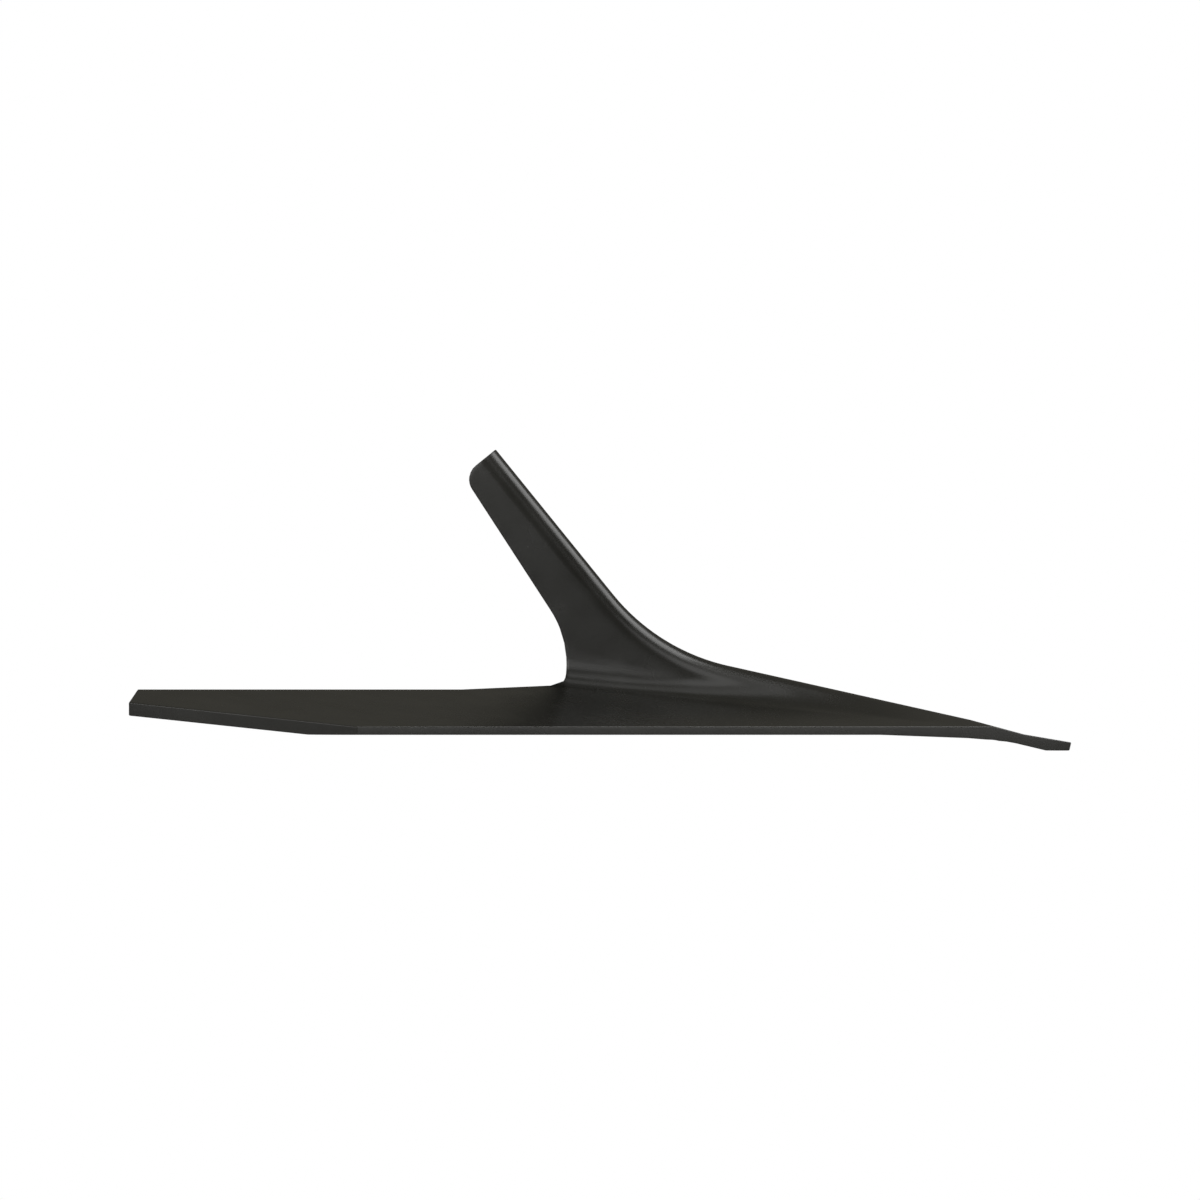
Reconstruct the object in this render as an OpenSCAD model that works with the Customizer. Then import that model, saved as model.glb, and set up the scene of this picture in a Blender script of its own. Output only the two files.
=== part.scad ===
// Cultivator sweep: one steel plate that is cut, pressed to shape and ground.
// Frame: +X is the direction of travel, +Z is up, and Y = 0 is the plane of symmetry.
// The nose and the wing tips lie equally far from X = 0, and the nose rests on Z = 0.

/* [Plate] */
// Thickness of the steel plate
plate_t = 6.35; // [5:0.05:8]
// Distance from the middle to the nose, along the travel
nose_reach = 225; // [215:1:240]
// Distance from the middle back to the wing tips, along the travel
tip_reach = 225; // [200:1:250]

/* [Wings] */
// Cutting width over both wing tips
cut_width = 406.4; // [360:0.1:440]
// Angle between a cutting edge and the direction of travel
edge_angle = 30; // [28:0.5:32]
// Width of a wing in plan, square to its cutting edge
wing_chord = 83.8; // [76:0.1:90]
// Rise of a wing from its cutting edge to its trailing edge
wing_pitch = 12; // [10:0.1:14]
// Height of the top of the cutting edge
edge_z = 11.5; // [10.5:0.1:13]
// Height of the blunt face of the cutting edge
edge_face = 4; // [3:0.1:5]
// How far the inner corner of a wing end lies ahead of the outer one
tip_skew = 4.2; // [0:0.1:10]
// Where the trailing edges end at the heel of the stem, along the travel
heel_x = -16; // [-20:0.1:-12]
// Angle between the root of the trailing edge and the direction of travel
root_angle = 39.3; // [36:0.1:42]
// Length of that root, along the travel
root_run = 50; // [44:1:54]
// Corner radius between the root and the stem, in plan
root_r = 6; // [3:0.5:7]

/* [Nose] */
// Width of the blunt nose
nose_w = 12.7; // [10:0.1:16]
// Backward lean of the nose face
nose_lean = 12.5; // [0:0.5:20]
// Length of the level toe under the nose
toe_run = 12; // [8:0.1:16]
// Distance from the nose to the start of its tongue, underneath
tongue_run = 29.2; // [24:0.1:36]
// Height of the underside at the start of the tongue
tongue_z = 4.1; // [3:0.1:5]
// Distance from the nose to where the underside of the edges stops being level
grind_run = 91; // [80:1:110]
// Height of the underside of the edges where the hollow of the ridge starts
break_z = 5.9; // [5:0.1:7]
// Hollow of the ridge line just behind the nose
nose_dip = 1.2; // [0:0.1:1.5]
// Distance from the nose to the deepest point of the hollow
dip_back = 22.6; // [18:0.1:26]
// Distance from the nose to the start of the hollow
dip_run = 48.4; // [40:0.1:54]

/* [Crown] */
// Place of the meeting point of the stem line and the ridge line, along the travel
crown_x = 27.8; // [22:0.1:32]
// Height of that point
crown_z = 48; // [46:0.1:50]
// Fall of the ridge from the crown to the nose
ridge_angle = 12.6; // [12:0.1:13.2]
// Radius of the curve from the stem into the ridge
crown_r = 98; // [80:1:120]
// Where the crown has faded into the wings, along the travel
fade_x = 165; // [155:1:172]
// Plan width of a flank where the crown fades out
fade_spread = 25; // [18:0.5:32]

/* [Stem] */
// Angle between the front of the stem and the ground
stem_angle = 51; // [47:0.5:54]
// Outside width of the stem across its front
stem_w = 64; // [58:0.5:70]
// Length of the front of the stem, from the meeting point to the top edge
stem_len = 123.3; // [112:0.1:130]
// Outward lean of the stem's two flanges
stem_splay = 3; // [1:0.5:5]
// Depth of a flange at the top of the stem
flange_d = 20; // [18:0.5:24]
// How much faster than the front the rear edge of a flange falls
flange_taper = 6; // [3:0.5:8]
// Radius of the top rear corner of a flange
flange_r = 8.6; // [5:0.1:11]
// Radius of the rear edge where a flange turns down to the wing
flange_foot_r = 47; // [35:1:55]

/* [Bends] */
// Outer radius of the bend from the front of the stem into a flange
stem_bend_r = 10.5; // [8.5:0.1:14]
// Outer radius of the same bend where the crown fades out
crown_bend_r = 20; // [12:0.5:26]
// Radius of the hollow between a flange and its wing
root_fillet_r = 9.5; // [7:0.1:13]
// Radius of the same hollow where the crown fades out
crown_fillet_r = 45; // [25:1:60]

/* [Bolt holes] */
// Diameter of a bolt hole
hole_d = 13.5; // [11:0.1:16]
// Distance between the two bolt holes
hole_pitch = 44.45; // [38:0.05:52]
// Distance from the top edge of the stem to the first hole
hole_edge = 17; // [15:0.5:22]
// Diameter of the countersink on the front of the stem
sink_d = 22; // [18:0.1:24]
// Full angle of the countersink
sink_angle = 90; // [80:1:100]

/* [Hidden] */
$fn = 96;

// Stations and facets of the pressed form
stem_lead = 12;      // untrimmed length behind the stem and past the wings
bend_steps = 10;     // facets across the bend of the stem
fillet_steps = 10;   // facets across the hollow at the root
arc_steps = 20;      // stations along the curve of the crown
fade_steps = 16;     // stations from that curve to the end of the crown
corner_steps = 10;   // facets of a rounded corner in an outline
probe = 0.01;        // half step for the slope between two stations

// Steel seen through the black finish
finish = [0.2, 0.2, 0.185];

// Line of the cutting edge in plan, and the height of the wing's top face
apex_x = nose_reach + nose_w / 2 / tan(edge_angle);
function edge_y(x) = (apex_x - x) * tan(edge_angle);
function chord_at(x, y) = (apex_x - x) * sin(edge_angle) - y * cos(edge_angle);
function wing_z(x, y) = edge_z + tan(wing_pitch) * chord_at(x, y);
wing_fall = tan(wing_pitch) * cos(edge_angle);

// Line of the stem's front and of the ridge, from the side
turn_len = crown_r * tan((stem_angle - ridge_angle) / 2);
arc_x0 = crown_x - turn_len * cos(stem_angle);
arc_x1 = crown_x + turn_len * cos(ridge_angle);
arc_cx = arc_x0 + crown_r * sin(stem_angle);
arc_cz = stem_z(arc_x0) + crown_r * cos(stem_angle);
stem_top = [crown_x - stem_len * cos(stem_angle), crown_z + stem_len * sin(stem_angle)];
cap_z = stem_top.y + 2 * stem_lead;
cap_x = crown_x - (cap_z - crown_z) / tan(stem_angle);
function stem_z(x) = crown_z + (crown_x - x) * tan(stem_angle);
function dip(x) =
    let (from_nose = nose_reach - x)
    max(0, nose_dip * min((dip_run - from_nose) / (dip_run - dip_back), from_nose / dip_back));
function ridge_z(x) = crown_z - (x - crown_x) * tan(ridge_angle) - dip(x);
function spine_z(x) =
    x < cap_x ? cap_z :
    x < arc_x0 ? stem_z(x) :
    x < arc_x1 ? arc_cz - sqrt(crown_r ^ 2 - (x - arc_cx) ^ 2) :
    ridge_z(x);
function spine_angle(x) =
    x < arc_x0 ? stem_angle :
    x < arc_x1 ? asin((arc_cx - x) / crown_r) :
    ridge_angle;

// How far the crown has faded at a station: 0 on the stem and 1 on the plain wings
function mix(a, b, s) = a + (b - a) * s;
function ease(s) = let (k = max(0, min(1, s))) k * k * (3 - 2 * k);
function fade(x) = ease((x - arc_x0) / (fade_x - arc_x0));

// Half width of the flat front or ridge, and of the foot of the flank below it
function rise(x) = spine_z(x) - wing_z(x, 0);
function meet_y(x) = -rise(x) / wing_fall;
function front_y(x) = x < fade_x ? mix(stem_w / 2, meet_y(fade_x), fade(x)) : meet_y(x);
function splay_y(x) =
    let (lean = tan(stem_splay) * cos(spine_angle(x)))
    (front_y(x) + lean * rise(x)) / (1 - lean * wing_fall) - front_y(x);
function foot_y(x) = front_y(x) + mix(splay_y(x), fade_spread, fade(x));
function end_y(x) = max(edge_y(x), foot_y(x) + fade_spread) + stem_lead;

// Half of the section at a station, as [across, depth below the spine, fall of the line]
function section(x) =
    let (
        c = cos(spine_angle(x)),
        w = front_y(x),
        foot = foot_y(x),
        foot_d = c * (rise(x) + wing_fall * foot),
        fall_flank = atan2(foot_d, foot - w),
        fall_wing = atan(c * wing_fall),
        flank = norm([foot - w, foot_d]),
        bend_turn = fall_flank / 2,
        fillet_turn = max(0, fall_flank - fall_wing) / 2,
        bend_r = mix(stem_bend_r, crown_bend_r, fade(x)),
        fillet_r = mix(root_fillet_r, crown_fillet_r, fade(x)),
        room = bend_r * tan(bend_turn) + fillet_r * tan(fillet_turn),
        fit = min(1, 0.98 * flank / room),
        bend_len = fit * bend_r * tan(bend_turn),
        fillet_len = fit * fillet_r * tan(fillet_turn),
        end = end_y(x)
    )
    concat(
        [[0, 0, 0]],
        [for (i = [0 : bend_steps])
            let (a = fall_flank * i / bend_steps)
            [w - bend_len + fit * bend_r * sin(a), fit * bend_r * (1 - cos(a)), a]],
        [for (i = [0 : fillet_steps])
            let (a = mix(fall_flank, fall_wing, i / fillet_steps))
            [foot + fillet_len * cos(fall_wing) - fit * fillet_r * (sin(a) - sin(fall_wing)),
             foot_d + fillet_len * sin(fall_wing) - fit * fillet_r * (cos(fall_wing) - cos(a)), a]],
        [[end, foot_d + (end - foot) * tan(fall_wing), fall_wing]]
    );

// Top of the plate along a station, and the direction out of it
function place(x, p) = [x, p.x, spine_z(x) - p.y / cos(spine_angle(x))];
function top_row(x) = [for (p = section(x)) place(x, p)];
function under_row(x) =
    let (
        here = section(x),
        top = top_row(x),
        back = top_row(x - probe),
        ahead = top_row(x + probe)
    )
    [for (i = [0 : len(here) - 1])
        let (
            along = ahead[i] - back[i],
            across = [0, cos(here[i].z), -sin(here[i].z) / cos(spine_angle(x))],
            out = cross(along, across)
        )
        top[i] - plate_t * out / norm(out)];
function both_sides(half) =
    concat(
        [for (i = [len(half) - 1 : -1 : 1]) [half[i].x, -half[i].y, half[i].z]],
        [for (i = [0 : len(half) - 1]) i == 0 ? [half[0].x, 0, half[0].z] : half[i]]
    );

// Stations from behind the wings to ahead of the nose
stations = concat(
    [-tip_reach - stem_lead, cap_x - stem_lead, cap_x + stem_lead / 4],
    [for (i = [0 : arc_steps]) mix(arc_x0, arc_x1, i / arc_steps)],
    [for (i = [1 : fade_steps]) mix(arc_x1, fade_x, i / fade_steps)],
    [nose_reach - dip_run, nose_reach - (dip_run + dip_back) / 2, nose_reach - dip_back],
    [nose_reach, nose_reach + stem_lead]
);

// Outline with a radius at each corner, from [x, y, radius]
function turned(p, q, r) = r * (q - p) / norm(q - p);
function corner(a, b, c) =
    let (
        p = [b.x, b.y],
        u = turned(p, [a.x, a.y], 1),
        v = turned(p, [c.x, c.y], 1),
        half = acos(u * v) / 2,
        centre = p + turned([0, 0], u + v, b.z / sin(half)),
        from = p + u * b.z / tan(half) - centre,
        to = p + v * b.z / tan(half) - centre,
        swing = 180 - 2 * half
    )
    b.z == 0 ? [p] :
    [for (i = [0 : corner_steps])
        let (k = i / corner_steps)
        centre + (from * sin((1 - k) * swing) + to * sin(k * swing)) / sin(swing)];
function rounded(points) =
    let (n = len(points))
    [for (i = [0 : n - 1]) each corner(points[(i + n - 1) % n], points[i], points[(i + 1) % n])];

// Plan outline: nose, cutting edges, wing ends, trailing edges, and the heel behind the stem
function trail_y(x) = ((apex_x - x) * sin(edge_angle) - wing_chord) / cos(edge_angle);
root_x = heel_x - root_run;
heel_y = trail_y(root_x) - root_run * tan(root_angle);
half_plan = [
    [nose_reach, nose_w / 2, 0],
    [apex_x - cut_width / 2 / tan(edge_angle), cut_width / 2, 0],
    [-tip_reach, cut_width / 2, 0],
    [-tip_reach + tip_skew, trail_y(-tip_reach + tip_skew), 0],
    [root_x, trail_y(root_x), 0],
    [heel_x, heel_y, root_r]
];
plan = concat(half_plan, [for (i = [len(half_plan) - 1 : -1 : 0]) let (p = half_plan[i]) [p.x, -p.y, p.z]]);

// Side outline of the stem, from its heel round the top to a line ahead of the crown
rear_angle = stem_angle + flange_taper;
inward = [-sin(stem_angle), -cos(stem_angle)];
rear_top = stem_top + flange_d * inward;
front_top = stem_top - stem_lead * inward;
heel_z = rear_top.y - (heel_x - rear_top.x) * tan(rear_angle);
split_z = heel_z - flange_foot_r * tan((90 - rear_angle) / 2);
stem_side = [
    [heel_x, split_z - stem_lead, 0],
    [heel_x, heel_z, flange_foot_r],
    [rear_top.x, rear_top.y, flange_r],
    [front_top.x, front_top.y, 0],
    [fade_x, front_top.y, 0],
    [fade_x, split_z - stem_lead, 0]
];

// Side outline of what is ground off below the cutting edges, the tongue and the nose
edge_under_z = edge_z - edge_face;
nose_h = ridge_z(nose_reach);
lean_run = tan(nose_lean);
ground_side = [
    [-tip_reach - stem_lead, -stem_lead],
    [-tip_reach - stem_lead, edge_under_z],
    [nose_reach - grind_run, edge_under_z],
    [nose_reach - dip_run, break_z],
    [nose_reach - tongue_run, tongue_z],
    [nose_reach - toe_run, 0],
    [nose_reach - nose_h * lean_run, 0],
    [nose_reach + stem_lead * lean_run, nose_h + stem_lead],
    [nose_reach + 2 * stem_lead, nose_h + stem_lead],
    [nose_reach + 2 * stem_lead, -stem_lead]
];

// The plate as pressed, before it is trimmed
module pressed_plate() {
    tops = [for (x = stations) both_sides(top_row(x))];
    unders = [for (x = stations) both_sides(under_row(x))];
    rows = len(stations);
    cols = len(tops[0]);
    function at(side, i, j) = (side * rows + i) * cols + j;
    function quad(a, b, c, d) = [[a, b, c], [a, c, d]];
    faces = concat(
        [for (i = [0 : rows - 2]) for (j = [0 : cols - 2])
            each quad(at(0, i, j), at(0, i, j + 1), at(0, i + 1, j + 1), at(0, i + 1, j))],
        [for (i = [0 : rows - 2]) for (j = [0 : cols - 2])
            each quad(at(1, i, j), at(1, i + 1, j), at(1, i + 1, j + 1), at(1, i, j + 1))],
        [for (i = [0 : rows - 2])
            each quad(at(0, i, 0), at(0, i + 1, 0), at(1, i + 1, 0), at(1, i, 0))],
        [for (i = [0 : rows - 2]) let (j = cols - 1)
            each quad(at(0, i + 1, j), at(0, i, j), at(1, i, j), at(1, i + 1, j))],
        [for (j = [0 : cols - 2])
            each quad(at(0, 0, j + 1), at(0, 0, j), at(1, 0, j), at(1, 0, j + 1))],
        [for (j = [0 : cols - 2]) let (i = rows - 1)
            each quad(at(0, i, j), at(0, i, j + 1), at(1, i, j + 1), at(1, i, j))]
    );
    polyhedron(concat([for (r = tops) each r], [for (r = unders) each r]), faces);
}

// A side outline made solid across the whole width
module across(points) {
    rotate([90, 0, 0])
        linear_extrude(cut_width + 2 * stem_lead, center = true)
            polygon(points);
}

// All that stays of the pressed plate when it is cut to its outlines
module blank() {
    translate([0, 0, -stem_lead])
        linear_extrude(split_z + stem_lead)
            polygon(rounded(plan));
    across(rounded(stem_side));
}

// A countersunk hole square to the front of the stem
module bolt_hole(from_top) {
    sink_slope = tan(sink_angle / 2);
    sink_h = (sink_d - hole_d) / 2 / sink_slope;
    at = stem_top + from_top * [cos(stem_angle), -sin(stem_angle)];
    translate([at.x, 0, at.y])
        rotate([0, stem_angle, 0]) {
            translate([0, 0, -2 * plate_t])
                cylinder(d = hole_d, h = 3 * plate_t);
            translate([0, 0, -sink_h])
                cylinder(d1 = hole_d, d2 = sink_d + 2 * sink_h, h = sink_h * (1 + 1 / sink_slope));
        }
}

module sweep() {
    color(finish)
        difference() {
            intersection() {
                pressed_plate();
                blank();
            }
            across(ground_side);
            for (i = [0, 1])
                bolt_hole(hole_edge + i * hole_pitch);
        }
}

sweep();
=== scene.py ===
"""Cultivator sweep in a plain studio: the painted, pressed plate, and the stage with light and camera."""

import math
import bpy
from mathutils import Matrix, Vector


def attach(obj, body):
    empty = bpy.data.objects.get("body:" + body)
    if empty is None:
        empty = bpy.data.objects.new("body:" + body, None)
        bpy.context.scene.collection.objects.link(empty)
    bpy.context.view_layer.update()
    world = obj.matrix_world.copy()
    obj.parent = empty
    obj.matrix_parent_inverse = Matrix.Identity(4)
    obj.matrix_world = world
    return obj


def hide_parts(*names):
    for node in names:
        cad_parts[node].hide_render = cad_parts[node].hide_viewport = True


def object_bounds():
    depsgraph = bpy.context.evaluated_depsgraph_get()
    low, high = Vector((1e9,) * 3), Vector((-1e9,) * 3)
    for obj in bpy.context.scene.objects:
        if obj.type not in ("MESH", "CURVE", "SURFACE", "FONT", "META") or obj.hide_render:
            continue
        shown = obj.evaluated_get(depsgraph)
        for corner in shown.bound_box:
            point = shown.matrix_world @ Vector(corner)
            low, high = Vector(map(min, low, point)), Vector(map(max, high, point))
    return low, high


bl_info = {
    "name": "Cultivator Sweep",
    "version": (1, 0, 0),
    "blender": (4, 5, 0),
    "location": "View3D > Sidebar > Sweep",
    "description": "Builds a painted cultivator sweep and a plain studio around it",
    "category": "Object",
}

from types import SimpleNamespace

import bmesh
import bpy
from bpy.props import FloatProperty, FloatVectorProperty, IntProperty, PointerProperty
from mathutils import Vector

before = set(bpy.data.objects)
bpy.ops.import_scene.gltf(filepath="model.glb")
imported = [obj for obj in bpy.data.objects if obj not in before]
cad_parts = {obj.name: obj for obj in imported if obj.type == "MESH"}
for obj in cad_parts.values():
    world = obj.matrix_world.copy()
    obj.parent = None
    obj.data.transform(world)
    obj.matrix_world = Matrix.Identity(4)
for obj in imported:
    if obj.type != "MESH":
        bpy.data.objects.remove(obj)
CAD_LOW, CAD_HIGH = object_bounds()
MM = 0.001


def length(name, description, default):
    """A size in the sidebar, given in millimetres."""
    size = default * MM
    return FloatProperty(name=name, description=description, default=size, subtype="DISTANCE", unit="LENGTH")


def angle(name, description, default):
    """An angle in the sidebar, given in degrees."""
    turn = math.radians(default)
    return FloatProperty(name=name, description=description, default=turn, subtype="ANGLE", unit="ROTATION")


def colour(name, description, default):
    """A colour in the sidebar."""
    return FloatVectorProperty(
        name=name, description=description, default=default, subtype="COLOR", min=0.0, max=1.0
    )


def level(name, description, default):
    """A share between 0 and 1 in the sidebar."""
    return FloatProperty(
        name=name, description=description, default=default, subtype="FACTOR", min=0.0, max=1.0
    )


class SweepPlateSettings(bpy.types.PropertyGroup):
    """Sizes of the pressed plate."""

    thickness: length("Plate thickness", "Thickness of the steel plate", 6.35)
    nose_reach: length("Nose reach", "Distance from the middle to the nose", CAD_HIGH[0] / MM)
    tip_reach: length("Tip reach", "Distance from the middle back to the wing tips", -CAD_LOW[0] / MM)
    cut_width: length("Cutting width", "Width over both wing tips", (CAD_HIGH[1] - CAD_LOW[1]) / MM)
    edge_angle: angle("Edge angle", "Angle between a cutting edge and the travel", 30.0)
    wing_chord: length("Wing width", "Width of a wing in plan, square to its cutting edge", 83.8)
    wing_pitch: angle("Wing pitch", "Rise of a wing from its cutting edge", 12.0)
    edge_z: length("Edge height", "Height of the top of the cutting edge", 11.5)
    edge_face: length("Edge face", "Height of the blunt face of the cutting edge", 4.0)
    nose_w: length("Nose width", "Width of the blunt nose", 12.7)
    stem_angle: angle("Stem angle", "Angle between the front of the stem and the ground", 51.0)
    stem_w: length("Stem width", "Outside width of the stem across its front", 64.0)
    stem_bend_r: length("Stem bend", "Outer radius of the bend from the stem's front into a flange", 10.5)
    crown_r: length("Crown radius", "Radius of the curve from the stem into the ridge", 98.0)
    hole_d: length("Hole", "Diameter of a bolt hole", 13.5)
    hole_pitch: length("Hole pitch", "Distance between the two bolt holes", 44.45)
    hole_edge: length("Hole edge", "Distance from the top edge of the stem to the first hole", 17.0)
    sink_d: length("Countersink", "Diameter of the countersink on the front of the stem", 22.0)
    edge_round: length("Edge round", "Width of the round on the cut edges under the paint", 0.55)
    round_steps: IntProperty(
        name="Round steps", description="Facets across a rounded edge", default=3, min=1, max=6
    )
    sharp_angle: angle("Sharp angle", "Faces that meet at more than this angle form a cut edge", 28.0)


class SweepPaintSettings(bpy.types.PropertyGroup):
    """Colours and gloss of the paint."""

    deep_colour: colour("Deep colour", "Darker tone of the paint", (0.0125, 0.0124, 0.0105))
    pale_colour: colour("Pale colour", "Lighter tone, where the coat is thin", (0.0195, 0.0191, 0.0164))
    # Lighter tone on the rounded edges: partly a worn thin coat, partly a painted highlight along the edges
    edge_wear_and_highlight_colour: colour("Edge colour", "Tone of the thin coat along the cut edges", (0.028, 0.0275, 0.024))
    gloss_low: level("Smooth roughness", "Roughness of the smoothest paint", 0.23)
    gloss_high: level("Dull roughness", "Roughness of the dullest paint", 0.29)
    peel_size: length("Peel size", "Spacing of the fine waves in the sprayed coat", 1.6)


class SweepStageSettings(bpy.types.PropertyGroup):
    """Floor, background, lights and framing."""

    floor_size: length("Floor size", "Radius of the round floor", 4000.0)
    floor_colour: colour("Floor colour", "Colour of the plain floor", (0.82, 0.82, 0.82))
    frame_width: length("Frame width", "Width of the picture at the object", 572.9)
    frame_height: length("Frame centre height", "Height of the middle of the picture above the floor", 71.9)
    camera_distance: length("Camera distance", "Distance from the camera to the plane of symmetry", 1600.0)
    room_level: level("Room level", "Brightness of the room in reflections", 0.10)
    room_colour: colour("Room colour", "Tint of the room in reflections", (1.0, 0.955, 0.81))


# The rest of the pressed form, in millimetres and degrees
# Slant of the wing ends, and the cut that runs from the heel out to the trailing edge
TIP_SKEW = 4.2
HEEL_X, ROOT_ANGLE, ROOT_RUN, ROOT_R = -16.0, 39.3, 50.0, 6.0
# Nose: lean of its face, the ground underside behind it, and the dip in its top
NOSE_LEAN, TOE_RUN, TONGUE_RUN, TONGUE_Z, GRIND_RUN, BREAK_Z = 12.5, 12.0, 29.2, 4.1, 91.0, 5.9
NOSE_DIP, DIP_BACK, DIP_RUN = 1.2, 22.6, 48.4
# Crown: where the lines of stem and ridge meet, fall of the ridge, and where the flanks have run out
CROWN_X, CROWN_Z, RIDGE_ANGLE, FADE_X, FADE_SPREAD = 27.8, 48.0, 12.6, 165.0, 25.0
# Stem: its length up from the crown, and its flanges with their top corner and foot
STEM_LEN, STEM_SPLAY, FLANGE_D, FLANGE_TAPER, FLANGE_R, FLANGE_FOOT_R = 123.3, 3.0, 20.0, 6.0, 8.6, 47.0
# Radii of the bends and hollows along the flanks, and the share of a flank that they may fill
CROWN_BEND_R, ROOT_FILLET_R, CROWN_FILLET_R, FLANK_FILL = 20.0, 9.5, 45.0, 0.98

# Columns of the mesh from the middle to the cutting edge: front, bend, flank, hollow and wing
FRONT_MARKS = (0.0, 3.5, 7.0, 10.5, 14.0, 16.5, 19.2)
FRONT_COLS, BEND_COLS, FLANK_COLS, HOLLOW_COLS, WING_COLS = len(FRONT_MARKS), 8, 6, 8, 15
HEEL_COL = FRONT_COLS + BEND_COLS + FLANK_COLS + 1
ALL_COLS = FRONT_COLS + BEND_COLS + FLANK_COLS + HOLLOW_COLS + WING_COLS
# Columns where the flange's rear edge and the wing's trailing edge leave the row at the heel
LEAVE_COL, JOIN_COL = HEEL_COL - 3, HEEL_COL + 4
# Columns that run together as one towards the narrow nose, farther behind it than each distance
MERGED_COLS = ((DIP_RUN, 1), (DIP_BACK, 2), (TOE_RUN, 4))
NOSE_MERGED_COLS = 11

# Rows of the mesh: round a flange's top corner, beside the root, to the tip, the crease and the wing end
CORNER_ROWS, ROOT_ROWS, TIP_ROW, CREASE_ROW, WING_ROWS = 4, 8, 15, 18, 31
# Rows past the root in which the wing's columns even out, and the share of the corner in the top row
BLEND_ROWS, CORNER_SPLIT = 8, 0.5
# Largest row spacing on the stem, beside the heel, above the crown, round it and along the ridge
STEM_STEP, HEEL_STEP, FRONT_STEP, CROWN_STEP, RIDGE_STEP = 2.2, 2.4, 4.7, 2.8, 4.0
# Run ahead of the heel over which the columns even out, and where they start to even out towards the nose
HEEL_SPREAD, EVEN_X = 45.0, 115.0
# Farthest place of the grinding crease across a wing, as a share
CREASE_LIMIT = 0.93
# Runs over which the way to the underside changes, ahead of the heel and beside the hollow
HEEL_BLEND, WING_BLEND = 30.0, 12.0
# How far inside the lower end of a flank the hollow counts from
HOLLOW_MARGIN = 0.5
# Upward parts of a normal: past the first a face lies flat, and the second is the least that is used
FLAT_RISE, LEAST_RISE = 0.9, 0.1
# Half of the window in the grid round a bolt hole, across and along the stem
HOLE_HALF, HOLE_MARGIN = 14.0, 13.0
# Distances that count as one place and as touching, a share that counts as nothing, and slack for rounding
WELD, TOUCH, TRACE, SLACK = 0.002, 0.01, 0.01, 1e-6

# Soft lights: place, width and height in metres, and power in watts
SOFTBOXES = {
    "front_light": ((1.35, 0.4, 1.55), 1.1, 1.2, 15.5),
    "crown_light": ((0.7, -1.15, 1.5), 1.0, 0.8, 4.5),
    "edge_light": ((1.9, -1.15, 0.45), 1.3, 0.6, 6.0),
    "top_light": ((0.5, -0.3, 2.0), 0.9, 0.9, 2.2),
    "side_light": ((-0.6, -2.2, 0.9), 1.6, 1.0, 21.0),
}


def mix(a, b, share):
    """The value that lies a share of the way from a to b."""
    return a + (b - a) * share


def ease(share):
    """A share between 0 and 1 that starts and ends gently."""
    k = max(0.0, min(1.0, share))
    return k * k * (3.0 - 2.0 * k)


def stepped(marks, step):
    """Values that hit every mark and lie no further apart than a step."""
    values = [marks[0]]
    for low, high in zip(marks, marks[1:]):
        count = max(1, math.ceil((high - low) / step - SLACK))
        values += [mix(low, high, (i + 1) / count) for i in range(count)]
    return values


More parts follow.
